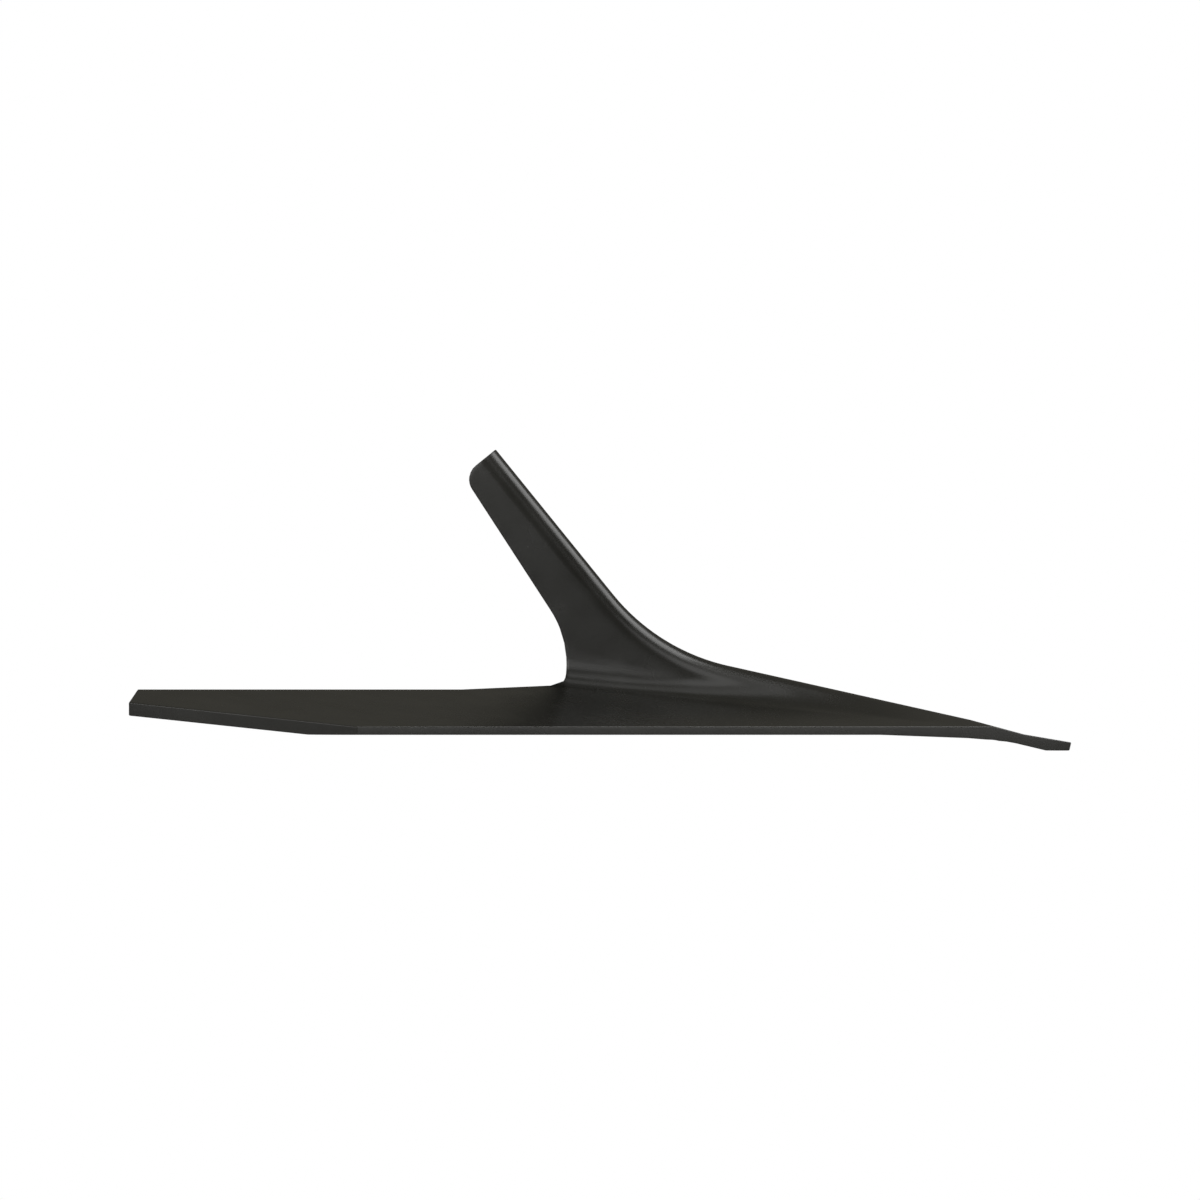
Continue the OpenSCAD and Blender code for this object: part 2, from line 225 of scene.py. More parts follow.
class PressedForm:
    """The faces of the plate, in millimetres: where its front, bends, flanks, hollows and wings lie."""

    def __init__(self, sizes):
        self.t = sizes.thickness / MM
        self.nose, self.tip = sizes.nose_reach / MM, sizes.tip_reach / MM
        self.half_w, self.chord = sizes.cut_width / MM / 2, sizes.wing_chord / MM
        self.edge_z, self.edge_face = sizes.edge_z / MM, sizes.edge_face / MM
        self.stem_w, self.bend_r = sizes.stem_w / MM, sizes.stem_bend_r / MM
        self.crown_r = sizes.crown_r / MM
        self.edge_angle, self.stem_angle = sizes.edge_angle, sizes.stem_angle
        self.rise_rate = math.tan(sizes.wing_pitch)
        self.wing_fall = self.rise_rate * math.cos(self.edge_angle)
        self.apex = self.nose + sizes.nose_w / MM / 2 / math.tan(self.edge_angle)
        self.ridge_angle = math.radians(RIDGE_ANGLE)
        # Side line of the stem, the crown and the ridge
        turn = self.crown_r * math.tan((self.stem_angle - self.ridge_angle) / 2)
        self.along = (math.cos(self.stem_angle), -math.sin(self.stem_angle))
        self.inward = (-math.sin(self.stem_angle), -math.cos(self.stem_angle))
        self.arc_x0 = CROWN_X - turn * math.cos(self.stem_angle)
        self.arc_x1 = CROWN_X + turn * math.cos(self.ridge_angle)
        self.arc_cx = self.arc_x0 + self.crown_r * math.sin(self.stem_angle)
        self.arc_cz = self.stem_z(self.arc_x0) + self.crown_r * math.cos(self.stem_angle)
        self.top = (CROWN_X - STEM_LEN * self.along[0], CROWN_Z - STEM_LEN * self.along[1])
        # Rear edge of a flange, and the heel where it meets the trailing edge of the wing
        self.taper = math.radians(FLANGE_TAPER)
        self.corner_d = FLANGE_D + FLANGE_R * math.tan(self.taper) - FLANGE_R / math.cos(self.taper)
        rear = [self.top[i] + FLANGE_D * self.inward[i] for i in (0, 1)]
        fall = self.stem_angle + self.taper
        heel_z = rear[1] - (HEEL_X - rear[0]) * math.tan(fall)
        self.split_z = heel_z - FLANGE_FOOT_R * math.tan((math.pi / 2 - fall) / 2)
        self.root_x = HEEL_X - ROOT_RUN
        self.heel_y = self.trail_y(self.root_x) - ROOT_RUN * math.tan(math.radians(ROOT_ANGLE))
        self.nose_h = self.spine_z(self.nose)

    def stem_z(self, x):
        """Height of the straight front of the stem."""
        return CROWN_Z + (CROWN_X - x) * math.tan(self.stem_angle)

    def edge_y(self, x):
        """Half width at the cutting edge."""
        return (self.apex - x) * math.tan(self.edge_angle)

    def chord_at(self, x, y):
        """Distance from the cutting edge in plan."""
        return (self.apex - x) * math.sin(self.edge_angle) - y * math.cos(self.edge_angle)

    def trail_y(self, x):
        """Half width at the trailing edge."""
        return ((self.apex - x) * math.sin(self.edge_angle) - self.chord) / math.cos(self.edge_angle)

    def wing_z(self, x, y):
        """Height of the top of a wing."""
        return self.edge_z + self.rise_rate * self.chord_at(x, y)

    def spine_z(self, x):
        """Height of the middle of the front, the crown and the ridge."""
        if x < self.arc_x0:
            return self.stem_z(x)
        if x < self.arc_x1:
            return self.arc_cz - math.sqrt(self.crown_r ** 2 - (x - self.arc_cx) ** 2)
        back = self.nose - x
        hollow = max(0.0, NOSE_DIP * min((DIP_RUN - back) / (DIP_RUN - DIP_BACK), back / DIP_BACK))
        return CROWN_Z - (x - CROWN_X) * math.tan(self.ridge_angle) - hollow

    def spine_angle(self, x):
        """Slope of the front, the crown and the ridge."""
        if x < self.arc_x0:
            return self.stem_angle
        return math.asin((self.arc_cx - x) / self.crown_r) if x < self.arc_x1 else self.ridge_angle

    def fade(self, x):
        """0 on the stem, and 1 where the crown has run out into the wings."""
        return ease((x - self.arc_x0) / (FADE_X - self.arc_x0))

    def section(self, x):
        """Half of the section at a station: widths, depths square to the spine, and turns."""
        c = math.cos(self.spine_angle(x))
        faded = self.fade(x)
        rise = self.spine_z(x) - self.wing_z(x, 0.0)
        front = -rise / self.wing_fall
        if x < FADE_X:
            far = -(self.spine_z(FADE_X) - self.wing_z(FADE_X, 0.0)) / self.wing_fall
            front = mix(self.stem_w / 2, far, faded)
        lean = math.tan(math.radians(STEM_SPLAY)) * c
        splay = (front + lean * rise) / (1.0 - lean * self.wing_fall) - front
        foot = front + mix(splay, FADE_SPREAD, faded)
        foot_d = c * (rise + self.wing_fall * foot)
        flank_fall = math.atan2(foot_d, foot - front)
        wing_fall = math.atan(c * self.wing_fall)
        bend_r = mix(self.bend_r, CROWN_BEND_R, faded)
        hollow_r = mix(ROOT_FILLET_R, CROWN_FILLET_R, faded)
        bend_tan = math.tan(flank_fall / 2)
        hollow_tan = math.tan(max(0.0, flank_fall - wing_fall) / 2)
        room = FLANK_FILL * math.hypot(foot - front, foot_d)
        fit = min(1.0, room / (bend_r * bend_tan + hollow_r * hollow_tan))
        bend_r *= fit
        hollow_r *= fit
        run = hollow_r * hollow_tan
        return SimpleNamespace(
            c=c,
            z=self.spine_z(x),
            flat=front - bend_r * bend_tan,
            bend_r=bend_r,
            hollow_r=hollow_r,
            foot=foot,
            foot_d=foot_d,
            flank_fall=flank_fall,
            wing_fall=wing_fall,
            hollow_y=foot + run * math.cos(wing_fall),
            hollow_d=foot_d + run * math.sin(wing_fall),
        )

    def bend_point(self, s, share):
        """A point round the bend from the front into the flank, as width and depth."""
        a = s.flank_fall * share
        return s.flat + s.bend_r * math.sin(a), s.bend_r * (1.0 - math.cos(a))

    def hollow_point(self, s, share):
        """A point round the hollow from the flank into the wing, as width and depth."""
        a = mix(s.flank_fall, s.wing_fall, share)
        y = s.hollow_y - s.hollow_r * (math.sin(a) - math.sin(s.wing_fall))
        return y, s.hollow_d - s.hollow_r * (math.cos(s.wing_fall) - math.cos(a))

    def side_lengths(self, s):
        """Lengths of the bend, the straight flank and the hollow in a section."""
        bend, low = self.bend_point(s, 1.0), self.hollow_point(s, 0.0)
        return s.bend_r * s.flank_fall, math.dist(bend, low), s.hollow_r * (s.flank_fall - s.wing_fall)

    def side_point(self, s, share):
        """A point on the way from the front round the bend, down the flank and through the hollow."""
        bend, flank, hollow = self.side_lengths(s)
        run = share * (bend + flank + hollow)
        if run < bend:
            return self.bend_point(s, run / bend)
        if run < bend + flank:
            ends = self.bend_point(s, 1.0), self.hollow_point(s, 0.0)
            return tuple(mix(ends[0][k], ends[1][k], (run - bend) / flank) for k in (0, 1))
        return self.hollow_point(s, (run - bend - flank) / hollow if hollow > 0.0 else 0.0)

    def depth_at(self, s, y):
        """Depth below the spine at a distance from the middle."""
        bend_y, bend_d = self.bend_point(s, 1.0)
        low_y, low_d = self.hollow_point(s, 0.0)
        if y <= s.flat:
            return 0.0
        if y < bend_y:
            return s.bend_r * (1.0 - math.sqrt(max(0.0, 1.0 - ((y - s.flat) / s.bend_r) ** 2)))
        if y < low_y:
            return mix(bend_d, low_d, (y - bend_y) / (low_y - bend_y))
        if y < s.hollow_y:
            up = math.sin(s.wing_fall) + (s.hollow_y - y) / s.hollow_r
            return s.hollow_d - s.hollow_r * (math.cos(s.wing_fall) - math.sqrt(max(0.0, 1.0 - up * up)))
        return s.foot_d + (y - s.foot) * math.tan(s.wing_fall)

    def width_at(self, s, d):
        """Distance from the middle at a depth below the spine, past the bend."""
        bend_y, bend_d = self.bend_point(s, 1.0)
        low_y, low_d = self.hollow_point(s, 0.0)
        if d < bend_d:
            return s.flat + s.bend_r * math.sin(math.acos(1.0 - d / s.bend_r))
        if d < low_d:
            return mix(bend_y, low_y, (d - bend_d) / (low_d - bend_d))
        up = math.cos(s.wing_fall) - (s.hollow_d - d) / s.hollow_r
        return s.hollow_y - s.hollow_r * (math.sqrt(max(0.0, 1.0 - up * up)) - math.sin(s.wing_fall))

    def on_top(self, x, y):
        """The point of the top face above a point of the plan."""
        s = self.section(x)
        return Vector((x, y, s.z - self.depth_at(s, y) / s.c))

    def side_place(self, t, d):
        """Place in the side view, from a distance down the stem and a depth behind its front."""
        return [self.top[i] + t * self.along[i] + d * self.inward[i] for i in (0, 1)]

    def stem_place(self, x, z):
        """Distance down the stem and depth behind its front, from a place in the side view."""
        off = (x - self.top[0], z - self.top[1])
        return [off[0] * axis[0] + off[1] * axis[1] for axis in (self.along, self.inward)]

    def foot_x(self, z):
        """Where the rounded foot of a flange's rear edge lies, at a height above the heel."""
        return HEEL_X - FLANGE_FOOT_R + math.sqrt(FLANGE_FOOT_R ** 2 - (z - self.split_z) ** 2)

    def rear_point(self, share, low_z):
        """A point of a flange's rear edge, from its top corner down to a height, as distance and depth."""
        r = FLANGE_R
        start = self.side_place(r - r * math.sin(self.taper), self.corner_d + r * math.cos(self.taper))
        swing = math.pi / 2 - self.stem_angle - self.taper
        foot_z = self.split_z + FLANGE_FOOT_R * math.sin(swing)
        foot = (self.foot_x(foot_z), foot_z)
        line = math.hypot(foot[0] - start[0], foot[1] - start[1])
        rest = swing - math.asin((low_z - self.split_z) / FLANGE_FOOT_R)
        run = share * (line + FLANGE_FOOT_R * rest)
        if run < line:
            return self.stem_place(*(mix(start[i], foot[i], run / line) for i in (0, 1)))
        z = self.split_z + FLANGE_FOOT_R * math.sin(swing - (run - line) / FLANGE_FOOT_R)
        return self.stem_place(self.foot_x(z), z)

    def heel_wall(self, y):
        """Where the cut behind the heel lies, up to the trailing edge."""
        turn = math.pi / 2 - math.radians(ROOT_ANGLE)
        rise = y - self.heel_y + ROOT_R * math.tan(turn / 2)
        if rise <= 0.0:
            return HEEL_X
        if rise < ROOT_R * math.sin(turn):
            return HEEL_X - ROOT_R + math.sqrt(ROOT_R ** 2 - rise ** 2)
        past = rise - ROOT_R * math.sin(turn)
        return HEEL_X - ROOT_R * (1.0 - math.cos(turn)) - past * math.tan(turn)

    def ground_z(self, x):
        """Height that the underside is ground to."""
        marks = (
            (-self.tip, self.edge_z - self.edge_face),
            (self.nose - GRIND_RUN, self.edge_z - self.edge_face),
            (self.nose - DIP_RUN, BREAK_Z),
            (self.nose - TONGUE_RUN, TONGUE_Z),
            (self.nose - TOE_RUN, 0.0),
            (self.nose, 0.0),
        )
        for low, high in zip(marks, marks[1:]):
            if x <= high[0]:
                return mix(low[1], high[1], max(0.0, (x - low[0]) / (high[0] - low[0])))
        return 0.0


class PlateGrid:
    """Rows and columns of the top face: the stem, the crown with the nose, and the wing, on one side."""

    def __init__(self, form, sizes):
        self.form = form
        self.stem = form.section(form.top[0])
        self.holes = [(sizes.hole_edge + i * sizes.hole_pitch) / MM for i in (0, 1)]
        # Columns round the bend, down the flank and through the hollow, with one column at the heel
        heel = form.section(HEEL_X)
        self.heel_t = form.stem_place(HEEL_X, form.spine_z(HEEL_X))[0]
        heel_d = (heel.z - form.split_z) * heel.c
        turn = math.acos(math.cos(heel.wing_fall) - (heel.hollow_d - heel_d) / heel.hollow_r)
        heel_share = (heel.flank_fall - turn) / (heel.flank_fall - heel.wing_fall)
        bend, flank, hollow = form.side_lengths(heel)
        runs = [bend * i / BEND_COLS for i in range(BEND_COLS)]
        runs += [bend + flank * i / FLANK_COLS for i in range(FLANK_COLS + 1)]
        turns = [mix(heel_share, 1.0, i / (HOLLOW_COLS - 1)) for i in range(HOLLOW_COLS - 1)]
        runs += [bend + flank + hollow * share for share in turns]
        self.side_shares = [run / (bend + flank + hollow) for run in runs]
        heel_cols = self.columns(HEEL_X)
        self.leave_z = heel.z - heel_cols[LEAVE_COL][1] / heel.c
        self.join_y = heel_cols[JOIN_COL][0]
        # Rows down the stem and on to the nose, with one at each end of a hole's window and at each bend
        low = [t - HOLE_MARGIN for t in self.holes]
        high = [t + HOLE_MARGIN for t in self.holes]
        self.stem_rows = stepped((0.0, low[0]), low[0] / CORNER_ROWS)
        self.stem_rows += stepped((low[0], high[0], low[1], self.heel_t), STEM_STEP)[1:]
        down = stepped((self.heel_t, high[1]), HEEL_STEP)
        self.crown_rows = [form.top[0] + t * form.along[0] for t in down]
        self.crown_rows += stepped((self.crown_rows[-1], form.arc_x0), FRONT_STEP)[1:]
        self.crown_rows += stepped((form.arc_x0, form.arc_x1), CROWN_STEP)[1:]
        marks = [form.arc_x1, form.nose - GRIND_RUN, FADE_X]
        marks += [form.nose - back for back in (DIP_RUN, TONGUE_RUN, DIP_BACK, TOE_RUN, 0.0)]
        self.crown_rows += stepped(marks, RIDGE_STEP)[1:]

    def grind_y(self):
        """Width across the travel of the strip that is ground under the cutting edge."""
        f = self.form
        pitch = math.atan(f.rise_rate)
        return (f.t / math.cos(pitch) - f.edge_face) / f.rise_rate / math.cos(f.edge_angle)

    def columns(self, x):
        """Distance from the middle and depth below the spine, for every column at a station."""
        form = self.form
        s = form.section(x)
        edge = form.edge_y(x)
        cols = [(mark / self.stem.flat * s.flat, 0.0) for mark in FRONT_MARKS]
        spread = ease((x - HEEL_X) / HEEL_SPREAD)
        count = len(self.side_shares)
        shares = [mix(share, i / count, spread) for i, share in enumerate(self.side_shares)]
        cols += [form.side_point(s, share) for share in shares]
        crease = edge - self.grind_y()
        wing = [mix(s.hollow_y, crease, i / (WING_COLS - 1)) for i in range(WING_COLS)] + [edge]
        cols += [(y, form.depth_at(s, y)) for y in wing]
        even = ease((x - EVEN_X) / (FADE_X - EVEN_X))
        if even == 0.0:
            return cols
        back = form.nose - x
        step = next((count for reach, count in MERGED_COLS if back > reach), NOSE_MERGED_COLS)
        ranks = [(i + step // 2) // step * step for i in range(ALL_COLS + 1)]
        widths = [mix(cols[i][0], edge * i / ALL_COLS, even) for i in ranks]
        return [(y, form.depth_at(s, y)) for y in widths]

    def crown_point(self, row, col):
        """A corner of the grid from the heel over the crown to the nose. Its first row follows the cuts."""
        form = self.form
        x = self.crown_rows[row]
        s = form.section(x)
        y, d = self.columns(x)[col]
        z = s.z - d / s.c
        if row > 0:
            return Vector((x, y, z))
        if col <= LEAVE_COL:
            return self.stem_point(len(self.stem_rows) - 1, col)
        if col <= HEEL_COL:
            x = form.foot_x(z)
            s = form.section(x)
            return Vector((x, form.width_at(s, (s.z - z) * s.c), z))
        rest = (col - JOIN_COL) / (ALL_COLS - JOIN_COL)
        return form.on_top(mix(form.heel_wall(min(y, self.join_y)), HEEL_X, max(0.0, rest)), y)

    def stem_point(self, row, col):
        """A corner of the grid on the stem, between its top edge and the heel."""
        form = self.form
        t = self.stem_rows[row]
        if col <= FRONT_COLS - 1:
            x, z = form.side_place(t, 0.0)
            return Vector((x, FRONT_MARKS[col], z))
        if row <= CORNER_ROWS:
            a = (math.pi / 2 - form.taper) * mix(CORNER_SPLIT, 1.0, row / CORNER_ROWS)
            end_t, end_d = FLANGE_R * (1.0 - math.cos(a)), form.corner_d + FLANGE_R * math.sin(a)
        else:
            share = (row - CORNER_ROWS) / (len(self.stem_rows) - 1 - CORNER_ROWS)
            end_t, end_d = form.rear_point(share, self.leave_z)
        bend_d = form.bend_point(self.stem, 1.0)[1]
        rank = col - FRONT_COLS
        if rank < BEND_COLS:
            d = form.bend_point(self.stem, rank / BEND_COLS)[1]
        else:
            d = mix(bend_d, end_d, (rank - BEND_COLS) / (LEAVE_COL - FRONT_COLS - BEND_COLS))
        if row > 0:
            t = mix(t, end_t, d / end_d)
        elif d > form.corner_d:
            t = FLANGE_R - math.sqrt(FLANGE_R ** 2 - (d - form.corner_d) ** 2)
        x, z = form.side_place(t, d)
        return Vector((x, form.width_at(form.section(x), d), z))

    def trail_point(self, row):
        """Plan place on the trailing edge, from the heel to the wing end."""
        form = self.form
        root = (form.root_x, form.trail_y(form.root_x))
        far_x = TIP_SKEW - form.tip
        far = (far_x, form.trail_y(far_x))
        if row <= ROOT_ROWS:
            y = mix(self.join_y, root[1], row / ROOT_ROWS)
            return form.heel_wall(y), y
        share = (row - ROOT_ROWS) / (WING_ROWS - ROOT_ROWS)
        return [mix(root[k], far[k], share) for k in (0, 1)]

    def outer_point(self, row):
        """Plan place on the cutting edge and the side of the wing."""
        form = self.form
        tip_x = form.apex - form.half_w / math.tan(form.edge_angle)
        grind_x = tip_x - self.grind_y() / math.tan(form.edge_angle)
        if row <= TIP_ROW:
            x = mix(HEEL_X, tip_x, row / TIP_ROW)
            return x, form.edge_y(x)
        if row <= CREASE_ROW:
            return mix(tip_x, grind_x, (row - TIP_ROW) / (CREASE_ROW - TIP_ROW)), form.half_w
        return mix(grind_x, -form.tip, (row - CREASE_ROW) / (WING_ROWS - CREASE_ROW)), form.half_w

    def wing_point(self, row, col):
        """A corner of the grid on the wing behind the heel."""
        form = self.form
        if row == 0:
            return self.crown_point(0, JOIN_COL + col)
        last = ALL_COLS - JOIN_COL
        inner, outer = self.trail_point(row), self.outer_point(row)
        heel_cols = self.columns(HEEL_X)
        first = (heel_cols[JOIN_COL + col][0] - self.join_y) / (heel_cols[-1][0] - self.join_y)
        chords = form.chord_at(*inner), form.chord_at(*outer)
        strip = self.grind_y() * math.cos(form.edge_angle)
        crease = min(CREASE_LIMIT, (chords[0] - strip) / (chords[0] - chords[1]))
        share = 1.0
        if col == last - 1:
            share = crease
        elif col < last - 1:
            share = mix(first, crease * col / (last - 1), ease((row - ROOT_ROWS) / BLEND_ROWS))
        return form.on_top(*(mix(inner[k], outer[k], share) for k in (0, 1)))


def mapped_grid(bm, rows, cols, point):
    """A grid of faces with each corner moved to its place."""
    made = bmesh.ops.create_grid(bm, x_segments=rows, y_segments=cols, size=1.0)["verts"]
    for v in made:
        v.co = point(round((v.co.x + 1.0) / 2.0 * rows), round((v.co.y + 1.0) / 2.0 * cols))


def top_sheet(grid):
    """The whole top face as one open sheet, in millimetres, facing up."""
    bm = bmesh.new()
    mapped_grid(bm, len(grid.stem_rows) - 1, LEAVE_COL, grid.stem_point)
    mapped_grid(bm, len(grid.crown_rows) - 1, ALL_COLS, grid.crown_point)
    mapped_grid(bm, WING_ROWS, ALL_COLS - JOIN_COL, grid.wing_point)
    bmesh.ops.remove_doubles(bm, verts=bm.verts, dist=WELD)
    bmesh.ops.mirror(bm, geom=bm.verts[:] + bm.edges[:] + bm.faces[:], axis="Y", merge_dist=WELD)
    bmesh.ops.recalc_face_normals(bm, faces=bm.faces)
    if sum(face.normal.z for face in bm.faces) < 0.0:
        bmesh.ops.reverse_faces(bm, faces=bm.faces)
    bm.normal_update()
    return bm


def set_drops(bm, form):
    """Stores for each corner of the top face the way to the underside.

    It runs along the cuts at the rims and beside the heel, straight down in the wings,
    and square to the face elsewhere.
    """
    drop = bm.verts.layers.float_vector.new("drop")
    for v in bm.verts:
        n = v.normal
        x, y = v.co.x, abs(v.co.y)
        s = form.section(x)
        # Ways through the plate: straight down, and square to it with the station kept
        down = Vector((0.0, 0.0, -form.t / max(n.z, LEAST_RISE)))
        across = Vector((0.0, n.y, n.z)) * (-form.t / (n.y ** 2 + n.z ** 2))
        in_hollow = y > form.hollow_point(s, 0.0)[0] - HOLLOW_MARGIN
        near = 1.0 - ease((x - HEEL_X) / HEEL_BLEND) if in_hollow else 0.0
        v[drop] = (n * -form.t).lerp(across, near)
        if y > s.hollow_y and n.z > FLAT_RISE:
            v[drop] = v[drop].lerp(down, ease((y - s.hollow_y) / WING_BLEND))
        if v.is_boundary and n.z > FLAT_RISE:
            v[drop] = down
        elif v.is_boundary and v.co.z > form.split_z - TOUCH:
            # Rim of the stem: within the cut, which runs across the stem
            ends = [e.other_vert(v).co for e in v.link_edges if e.is_boundary]
            wall = (ends[1] - ends[0]).cross(Vector((0.0, 1.0, 0.0)))
            if wall.length > TRACE * (ends[1] - ends[0]).length:
                wall.normalize()
                n = n - wall * n.dot(wall)
            v[drop] = n * (-form.t / n.length_squared)
        elif v.is_boundary:
            v[drop] = across
        if in_hollow and near > 0.0:
            # The underside follows the cut behind the heel
            under_y = abs(v.co.y + v[drop].y)
            v[drop] += Vector((near * (form.heel_wall(under_y) - form.heel_wall(y)), 0.0, 0.0))
    return drop


def hole_axes(form, t):
    """Centre of a bolt hole on the front of the stem, the way out of it, and the way down the stem."""
    x, z = form.side_place(t, 0.0)
    out = Vector((-form.inward[0], 0.0, -form.inward[1]))
    return Vector((x, 0.0, z)), out, Vector((form.along[0], 0.0, form.along[1]))


def open_hole(bm, form, drop, t, radius):
    """Opens a round hole in the flat front of the stem and joins it to the grid around it."""
    centre, out, down = hole_axes(form, t)

    def inside(face):
        off = face.calc_center_median() - centre
        in_window = abs(off.dot(down)) < HOLE_MARGIN and abs(off.y) < HOLE_HALF
        return in_window and abs(off.dot(out)) < TOUCH

    window = [face for face in bm.faces if inside(face)]
    border = [e for e in bm.edges if sum(face in window for face in e.link_faces) == 1]
    bmesh.ops.delete(bm, geom=window, context="FACES")
    made = bmesh.ops.extrude_edge_only(bm, edges=border)["geom"]

    def bearing(v):
        off = v.co - centre
        return math.atan2(off.y, off.dot(down))

    ring = sorted((v for v in made if isinstance(v, bmesh.types.BMVert)), key=bearing)
    first = min(range(len(ring)), key=lambda i: abs(bearing(ring[i])))
    for i, v in enumerate(ring):
        a = 2.0 * math.pi * (i - first) / len(ring)
        v.co = centre + (down * math.cos(a) + Vector((0.0, math.sin(a), 0.0))) * radius
        v[drop] = out * -form.t


def sink_hole(bm, form, t, hole_r, sink_r):
    """Shapes the wall of a hole: a right-angled countersink in front, and a straight bore behind it."""
    centre, out, _ = hole_axes(form, t)

    def radial(v):
        off = v.co - centre
        return off - out * off.dot(out)

    def through(e):
        deep = abs((e.verts[1].co - e.verts[0].co).dot(out)) > form.t / 2
        return deep and all(abs(radial(v).length - sink_r) < TOUCH for v in e.verts)

    walls = [e for e in bm.edges if through(e)]
    for e in walls:
        inner = min(e.verts, key=lambda v: v.co.dot(out))
        inner.co = centre + radial(inner).normalized() * hole_r - out * form.t
    made = bmesh.ops.subdivide_edges(bm, edges=walls, cuts=1)["geom_inner"]
    for v in made:
        if isinstance(v, bmesh.types.BMVert):
            v.co = centre + radial(v).normalized() * hole_r - out * (sink_r - hole_r)


def pressed_plate(sizes):
    """The finished plate as a closed mesh in metres."""
    form = PressedForm(sizes)
    grid = PlateGrid(form, sizes)
    bm = top_sheet(grid)
    drop = set_drops(bm, form)
    for t in grid.holes:
        open_hole(bm, form, drop, t, sizes.sink_d / MM / 2)
    rim = bm.edges.layers.int.new("rim")
    made = bmesh.ops.extrude_face_region(bm, geom=bm.faces[:], use_keep_orig=True)["geom"]
    lower = {v for v in made if isinstance(v, bmesh.types.BMVert)}
    walls = {f for f in bm.faces if 0 < sum(v in lower for v in f.verts) < len(f.verts)}
    for e in bm.edges:
        e[rim] = int(sum(f in walls for f in e.link_faces) == 1)
    for v in lower:
        at_nose = v.co.x > form.nose - TOUCH
        v.co += v[drop]
        v.co.z = max(v.co.z, form.ground_z(v.co.x))
        if at_nose:
            v.co.x -= (form.nose_h - v.co.z) * math.tan(math.radians(NOSE_LEAN))
    for t in grid.holes:
        sink_hole(bm, form, t, sizes.hole_d / MM / 2, sizes.sink_d / MM / 2)
    bmesh.ops.recalc_face_normals(bm, faces=bm.faces)
    bmesh.ops.scale(bm, vec=(MM, MM, MM), verts=bm.verts)
    return bm


def add_node(tree, kind, **inputs):
    """Adds a shader node and sets the inputs that are given by name."""
    node = tree.nodes.new(kind)
    for name, value in inputs.items():
        node.inputs[name.replace("_", " ")].default_value = value
    return node


def blank_material(name):
    """A new material with an empty node tree and its output."""
    material = bpy.data.materials.new(name)
    material.use_nodes = True
    material.node_tree.nodes.clear()
    return material, material.node_tree, material.node_tree.nodes.new("ShaderNodeOutputMaterial")


def sprayed_paint(settings):
    """Semi-gloss olive-black paint, sprayed on pressed steel."""
    material, tree, output = blank_material("olive_black_paint")
    link = tree.links.new
    place = tree.nodes.new("ShaderNodeTexCoord").outputs["Object"]

    cloud = add_node(tree, "ShaderNodeTexNoise", Scale=14.0, Detail=4.0, Roughness=0.55)
    link(place, cloud.inputs["Vector"])
    tone = tree.nodes.new("ShaderNodeValToRGB")
    tone.color_ramp.elements[0].position = 0.35
    tone.color_ramp.elements[0].color = (*settings.deep_colour, 1.0)
    tone.color_ramp.elements[1].position = 0.72
    tone.color_ramp.elements[1].color = (*settings.pale_colour, 1.0)
    link(cloud.outputs["Fac"], tone.inputs["Fac"])

    # Rounded edges get a lighter tone broken up by noise: a worn thin coat, and a painted highlight along
    # the edges
    edge = tree.nodes.new("ShaderNodeAttribute")
    edge.attribute_name = "edge"
    scuff = add_node(tree, "ShaderNodeTexNoise", Scale=160.0, Detail=3.0)
    link(place, scuff.inputs["Vector"])
    worn_and_highlit_edge = tree.nodes.new("ShaderNodeMath")
    worn_and_highlit_edge.operation = "MULTIPLY"
    link(edge.outputs["Fac"], worn_and_highlit_edge.inputs[0])
    link(scuff.outputs["Fac"], worn_and_highlit_edge.inputs[1])
    coat = tree.nodes.new("ShaderNodeMix")
    coat.data_type = "RGBA"
    link(worn_and_highlit_edge.outputs["Value"], coat.inputs["Factor"])
    link(tone.outputs["Color"], coat.inputs["A"])
    coat.inputs["B"].default_value = (*settings.edge_wear_and_highlight_colour, 1.0)

    haze = add_node(tree, "ShaderNodeTexNoise", Scale=55.0, Detail=3.0)
    link(place, haze.inputs["Vector"])
    gloss = add_node(tree, "ShaderNodeMapRange", From_Min=0.3, From_Max=0.7)
    gloss.inputs["To Min"].default_value = settings.gloss_low
    gloss.inputs["To Max"].default_value = settings.gloss_high
    link(haze.outputs["Fac"], gloss.inputs["Value"])

    peel = add_node(tree, "ShaderNodeTexNoise", Scale=1.0 / settings.peel_size, Detail=2.0)
    link(place, peel.inputs["Vector"])
    bump = add_node(tree, "ShaderNodeBump", Strength=0.035, Distance=0.0004)
    link(peel.outputs["Fac"], bump.inputs["Height"])

    paint = add_node(tree, "ShaderNodeBsdfPrincipled", IOR=1.45)
    link(coat.outputs["Result"], paint.inputs["Base Color"])
    link(gloss.outputs["Result"], paint.inputs["Roughness"])
    link(bump.outputs["Normal"], paint.inputs["Normal"])
    link(paint.outputs["BSDF"], output.inputs["Surface"])
    return material


def plain_floor(settings):
    """Plain matt floor."""
    material, tree, output = blank_material("plain_floor")
    paint = add_node(tree, "ShaderNodeBsdfPrincipled", Roughness=0.9)
    paint.inputs["Base Color"].default_value = (*settings.floor_colour, 1.0)
    tree.links.new(paint.outputs["BSDF"], output.inputs["Surface"])
    return material


def mesh_object(name, bm, material):
    """Turns a bmesh into an object at the origin."""
    mesh = bpy.data.meshes.new(name)
    bm.to_mesh(mesh)
    bm.free()
    mesh.materials.append(material)
    piece = bpy.data.objects.new(name, mesh)
    bpy.context.scene.collection.objects.link(piece)
    return piece


